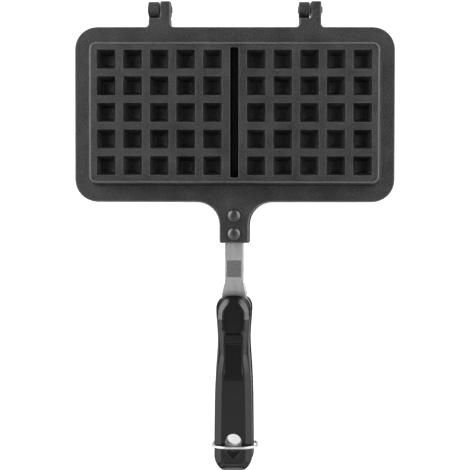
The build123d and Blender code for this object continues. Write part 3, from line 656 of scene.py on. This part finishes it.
def mottle_group():
    """Two scales of noise: a slow patchiness and a fine grain, each as a value and as bumps. Where the mask
    is set, the surface turns to its mask colour and roughness. On the pans' rims that colour is rubbed
    coating and a painted highlight both; on the wire it is a painted highlight."""
    tree, given, out = group(
        "mottle",
        [("Patch Scale", "NodeSocketFloat", 40.0), ("Grain Scale", "NodeSocketFloat", 1500.0),
         ("Dark", "NodeSocketColor", (0.03, 0.03, 0.03, 1)),
         ("Light", "NodeSocketColor", (0.06, 0.06, 0.06, 1)),
         ("Rough Low", "NodeSocketFloat", 0.4), ("Rough High", "NodeSocketFloat", 0.6),
         ("Bump", "NodeSocketFloat", 0.2), ("Worn Color", "NodeSocketColor", (0.05, 0.05, 0.05, 1)),
         ("Worn Roughness", "NodeSocketFloat", 0.3)],
        [("Color", "NodeSocketColor"), ("Roughness", "NodeSocketFloat"), ("Normal", "NodeSocketVector")])
    place = node(tree, "ShaderNodeTexCoord").outputs["Object"]
    patch = node(tree, "ShaderNodeTexNoise", {"Vector": place, "Scale": given.outputs["Patch Scale"],
                                              "Detail": 4.0, "Roughness": 0.6})
    grain = node(tree, "ShaderNodeTexNoise", {"Vector": place, "Scale": given.outputs["Grain Scale"],
                                              "Detail": 2.0, "Roughness": 0.7})
    both = node(tree, "ShaderNodeMath", {0: patch.outputs[0], 1: 0.4, 2: grain.outputs[0]},
                operation="MULTIPLY_ADD")
    share = node(tree, "ShaderNodeMapRange", {"Value": both.outputs[0], "From Min": 0.6, "From Max": 0.88})
    tint = node(tree, "ShaderNodeMix", {0: share.outputs[0], 6: given.outputs["Dark"],
                                        7: given.outputs["Light"]}, data_type="RGBA")
    rough = node(tree, "ShaderNodeMapRange", {"Value": patch.outputs[0], "From Min": 0.3, "From Max": 0.7,
                                              "To Min": given.outputs["Rough Low"],
                                              "To Max": given.outputs["Rough High"]})
    bump = node(tree, "ShaderNodeBump", {"Height": grain.outputs[0], "Strength": given.outputs["Bump"],
                                         "Distance": 0.0005})
    # mask of rubbed rims and painted highlights, read from the point attribute
    worn = node(tree, "ShaderNodeAttribute", attribute_name="worn").outputs["Fac"]
    wear_and_highlight_share = node(tree, "ShaderNodeMath", {0: worn, 1: grain.outputs[0]}, operation="MULTIPLY")
    wear_and_highlight_share = node(tree, "ShaderNodeMapRange", {"Value": wear_and_highlight_share.outputs[0], "From Max": 0.45}).outputs[0]
    color = node(tree, "ShaderNodeMix", {0: wear_and_highlight_share, 6: tint.outputs[2], 7: given.outputs["Worn Color"]},
                 data_type="RGBA")
    roughness = node(tree, "ShaderNodeMix", {0: wear_and_highlight_share, 2: rough.outputs[0],
                                             3: given.outputs["Worn Roughness"]})
    tree.links.new(color.outputs[2], out.inputs["Color"])
    tree.links.new(roughness.outputs[0], out.inputs["Roughness"])
    tree.links.new(bump.outputs[0], out.inputs["Normal"])
    return tree


def brushed_group():
    """Fine lines along one axis: noise stretched far along Y, as a tint, roughness and bumps. A
    plain rectangle of the upper strap's outer face, just behind the plate, is blasted matt."""
    tree, given, out = group(
        "brushed along Y",
        [("Dark", "NodeSocketColor", (0.5, 0.5, 0.5, 1)), ("Light", "NodeSocketColor", (0.8, 0.8, 0.8, 1)),
         ("Patch Color", "NodeSocketColor", (0.1, 0.1, 0.1, 1)),
         ("Rough Low", "NodeSocketFloat", 0.25), ("Rough High", "NodeSocketFloat", 0.45),
         ("Bump", "NodeSocketFloat", 0.3)],
        [("Color", "NodeSocketColor"), ("Roughness", "NodeSocketFloat"), ("Normal", "NodeSocketVector")])
    place = node(tree, "ShaderNodeTexCoord").outputs["Object"]
    long = node(tree, "ShaderNodeMapping", {"Vector": place, "Scale": (2600.0, 60.0, 2600.0)})
    lines = node(tree, "ShaderNodeTexNoise", {"Vector": long.outputs[0], "Scale": 1.0, "Detail": 3.0,
                                              "Roughness": 0.65})
    share = node(tree, "ShaderNodeMapRange", {"Value": lines.outputs[0], "From Min": 0.3, "From Max": 0.7})
    tint = node(tree, "ShaderNodeMix", {0: share.outputs[0], 6: given.outputs["Dark"],
                                        7: given.outputs["Light"]}, data_type="RGBA")
    rough = node(tree, "ShaderNodeMapRange", {"Value": share.outputs[0],
                                              "To Min": given.outputs["Rough Low"],
                                              "To Max": given.outputs["Rough High"]})
    bump = node(tree, "ShaderNodeBump", {"Height": lines.outputs[0], "Strength": given.outputs["Bump"],
                                         "Distance": 0.0001})
    centre = (-MM * HANDLE_OFFSET, MM * (CENTRE_Y + PATCH_Y), MM * (PAN_DEPTH + HALF_GAP + TANG_T))
    away = node(tree, "ShaderNodeVectorMath", {0: place, 1: centre}, operation="SUBTRACT").outputs[0]
    away = node(tree, "ShaderNodeVectorMath", {0: away, 1: [2 / MM / side for side in PATCH_SIZE]},
                operation="MULTIPLY").outputs[0]
    away = node(tree, "ShaderNodeVectorMath", {0: away}, operation="ABSOLUTE").outputs[0]
    away = node(tree, "ShaderNodeSeparateXYZ", {0: away}).outputs
    furthest = node(tree, "ShaderNodeMath", {0: away[0], 1: away[1]}, operation="MAXIMUM").outputs[0]
    furthest = node(tree, "ShaderNodeMath", {0: furthest, 1: away[2]}, operation="MAXIMUM").outputs[0]
    grit = node(tree, "ShaderNodeTexNoise", {"Vector": place, "Scale": 900.0, "Detail": 2.0}).outputs[0]
    edge = node(tree, "ShaderNodeMath", {0: grit, 1: 0.2, 2: furthest}, operation="MULTIPLY_ADD").outputs[0]
    blasted = node(tree, "ShaderNodeMapRange", {"Value": edge, "From Min": 1.0, "From Max": 1.25,
                                                "To Min": 1.0, "To Max": 0.0}).outputs[0]
    speck = node(tree, "ShaderNodeMapRange", {"Value": grit, "From Min": 0.35, "From Max": 0.7,
                                              "To Min": 1.0, "To Max": 0.9}).outputs[0]
    share = node(tree, "ShaderNodeMath", {0: blasted, 1: speck}, operation="MULTIPLY").outputs[0]
    color = node(tree, "ShaderNodeMix", {0: share, 6: tint.outputs[2], 7: given.outputs["Patch Color"]},
                 data_type="RGBA")
    roughness = node(tree, "ShaderNodeMix", {0: blasted, 2: rough.outputs[0], 3: PATCH_ROUGHNESS})
    tree.links.new(color.outputs[2], out.inputs["Color"])
    tree.links.new(roughness.outputs[0], out.inputs["Roughness"])
    tree.links.new(bump.outputs[0], out.inputs["Normal"])
    return tree


def finish_material(name, effect, effect_values, **principled):
    """A Principled surface fed by one effect group with its own values."""
    material = bpy.data.materials.new(name)
    material.use_nodes = True
    tree = material.node_tree
    surface = tree.nodes["Principled BSDF"]
    placed = tree.nodes.new("ShaderNodeGroup")
    placed.node_tree = effect
    for label, value in effect_values.items():
        placed.inputs[label].default_value = value
    for label, value in principled.items():
        surface.inputs[label.replace("_", " ")].default_value = value
    tree.links.new(placed.outputs["Color"], surface.inputs["Base Color"])
    tree.links.new(placed.outputs["Roughness"], surface.inputs["Roughness"])
    tree.links.new(placed.outputs["Normal"], surface.inputs["Normal"])
    return material


def grey(value, warm=0.0):
    return (value * (1 + warm), value, value * (1 - warm), 1.0)


def materials():
    mottle, brushed = mottle_group(), brushed_group()
    return {
        # the rims' lighter mask colour is rubbed coating and a painted highlight along them
        "coating": finish_material("non-stick coating", mottle, {
            "Patch Scale": 60.0, "Grain Scale": 1000.0, "Dark": grey(0.0), "Light": grey(0.04),
            "Rough Low": 0.42, "Rough High": 0.52, "Bump": 1.0, "Worn Color": grey(0.14),
            "Worn Roughness": 0.3}),
        "phenolic": finish_material("moulded phenolic", mottle, {
            "Patch Scale": 30.0, "Grain Scale": 700.0, "Dark": grey(0.005), "Light": grey(0.007),
            "Rough Low": 0.16, "Rough High": 0.24, "Bump": 0.015}),
        "strap": finish_material("brushed steel", brushed, {
            "Dark": grey(0.78), "Light": grey(0.97), "Patch Color": grey(0.17), "Rough Low": 0.3,
            "Rough High": 0.45, "Bump": 0.25},
            Metallic=1.0),
        "rivet": finish_material("rivet aluminium", mottle, {
            "Patch Scale": 200.0, "Grain Scale": 900.0, "Dark": grey(0.1), "Light": grey(0.17),
            "Rough Low": 0.36, "Rough High": 0.44, "Bump": 0.12}, Metallic=1.0),
        # the near-white mask colour is a painted highlight on the wire's marked side
        "wire": finish_material("wire with painted highlight", mottle, {
            "Patch Scale": 150.0, "Grain Scale": 2000.0, "Dark": grey(0.3), "Light": grey(0.4),
            "Rough Low": 0.2, "Rough High": 0.3, "Bump": 0.02, "Worn Color": grey(0.95),
            "Worn Roughness": 0.45}, Metallic=1.0),
        "pin": finish_material("plain steel", mottle, {
            "Patch Scale": 150.0, "Grain Scale": 1500.0, "Dark": grey(0.3), "Light": grey(0.4),
            "Rough Low": 0.3, "Rough High": 0.45, "Bump": 0.04}, Metallic=1.0),
        "brass": finish_material("machined brass", mottle, {
            "Patch Scale": 150.0, "Grain Scale": 1500.0, "Dark": (0.5, 0.34, 0.12, 1),
            "Light": (0.62, 0.45, 0.18, 1), "Rough Low": 0.25, "Rough High": 0.35, "Bump": 0.04},
            Metallic=1.0),
    }


def dress(piece, body, finish, look, *nodes):
    """The piece takes a finish, moves with a body and stands for CAD nodes."""
    piece.data.materials.clear()
    piece.data.materials.append(look[finish])
    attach(piece, body)
    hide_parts(*nodes)


def build(look):
    for half in ("upper", "lower"):
        dress(pan(half), half, "coating", look, f"{half}_pan")
        dress(strap(half), half, "strap", look, f"{half}_strap")
        dress(grip(half), half, "phenolic", look, f"{half}_grip")
        for which, place in enumerate(("front", "rear")):
            dress(rivet(half, which), half, "rivet", look, f"{half}_{place}_rivet")
        for part, finish in (("grip_screw", "pin"), ("grip_insert", "brass")):
            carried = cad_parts[f"{half}_{part}"]
            carried.data.materials.clear()
            carried.data.materials.append(look[finish])
    dress(hinge_pin(-1), "lower", "pin", look, "left_hinge_pin")
    dress(hinge_pin(1), "lower", "pin", look, "right_hinge_pin")
    dress(bail(), "bail", "wire", look, "locking_bail")


# ---- floor, lights and camera ---------------------------------------------------------------------
EYE = (0.017, 0.0204, 0.622)      # camera, nearly straight above the iron
AIM = (0.0123, 0.0104, 0.022)     # where its axis meets the flange's outer face
ROLL = math.radians(0.1)
LENS = 61.1                       # for a sensor 36 wide
SHIFT = (-0.0338, -0.0256)
FLOOR_FILL = 0.75                 # light of the floor's own, so that it stays pale
FLOOR_HALF = 3.0
WORLD_LIGHT = 0.08


def floor():
    material = bpy.data.materials.new("pale floor")
    material.use_nodes = True
    surface = material.node_tree.nodes["Principled BSDF"]
    surface.inputs["Base Color"].default_value = (0.86, 0.86, 0.86, 1)
    surface.inputs["Roughness"].default_value = 0.9
    surface.inputs["Specular IOR Level"].default_value = 0.0
    surface.inputs["Emission Color"].default_value = (1, 1, 1, 1)
    surface.inputs["Emission Strength"].default_value = FLOOR_FILL
    corners = [(FLOOR_HALF * x, FLOOR_HALF * y, 0) for x, y in ((-1, -1), (1, -1), (1, 1), (-1, 1))]
    mesh = bpy.data.meshes.new("floor")
    mesh.from_pydata(corners, [], [(0, 1, 2, 3)])
    mesh.materials.append(material)
    plane = bpy.data.objects.new("floor", mesh)
    bpy.context.scene.collection.objects.link(plane)


def facing(place, aim, up):
    """Rotation whose -Z axis runs from a place to a point, with its Y axis as near up as it can be."""
    back = (Vector(place) - Vector(aim)).normalized()
    right = Vector(up).cross(back).normalized()
    return Matrix((right, back.cross(right), back)).transposed().to_euler()


def softbox(name, place, aim, size, radiance, up=(0, 0, 1)):
    """Rectangular light at a place, facing a point: its power follows from area and radiance."""
    light = bpy.data.lights.new(name, "AREA")
    light.shape, light.size, light.size_y = "RECTANGLE", size[0], size[1]
    light.energy = radiance * math.pi * size[0] * size[1]
    lamp = bpy.data.objects.new(name, light)
    lamp.location, lamp.rotation_euler = place, facing(place, aim, up)
    bpy.context.scene.collection.objects.link(lamp)


def studio():
    world = bpy.data.worlds.new("studio")
    bpy.context.scene.world = world
    world.use_nodes = True
    world.node_tree.nodes["Background"].inputs[0].default_value = (1, 1, 1, 1)
    world.node_tree.nodes["Background"].inputs[1].default_value = WORLD_LIGHT
    for side, name, strength in ((-1, "left", 1.0), (1, "right", 0.88)):
        softbox(name, (side * 0.64, 0.30, 0.46), (0, 0.07, 0), (0.9, 0.45), 5.9 * strength)
        softbox(f"{name}, handle end", (side * 0.64, -0.47, 0.46), (0, -0.47, 0), (0.66, 0.45),
                1.6 * strength)
    softbox("overhead, handle end", (0, -0.78, 1.4), (0, -0.78, 0), (1.6, 0.9), 0.52, (0, 1, 0))
    softbox("overhead, middle", (0, -0.15, 1.4), (0, -0.15, 0), (0.8, 0.36), 0.1, (0, 1, 0))
    softbox("handle end", (0, -1.0, 0.5), (0, -0.2, 0), (1.2, 0.5), 0.9)


def camera():
    lens = bpy.data.cameras.new("camera")
    lens.sensor_width, lens.lens = 36.0, LENS
    lens.shift_x, lens.shift_y = SHIFT
    eye = bpy.data.objects.new("camera", lens)
    eye.location = EYE
    eye.rotation_euler = facing(EYE, AIM, (-math.sin(ROLL), math.cos(ROLL), 0))
    bpy.context.scene.collection.objects.link(eye)
    bpy.context.scene.camera = eye
    bpy.context.scene.view_settings.view_transform = "Standard"


build(materials())
floor()
studio()
camera()
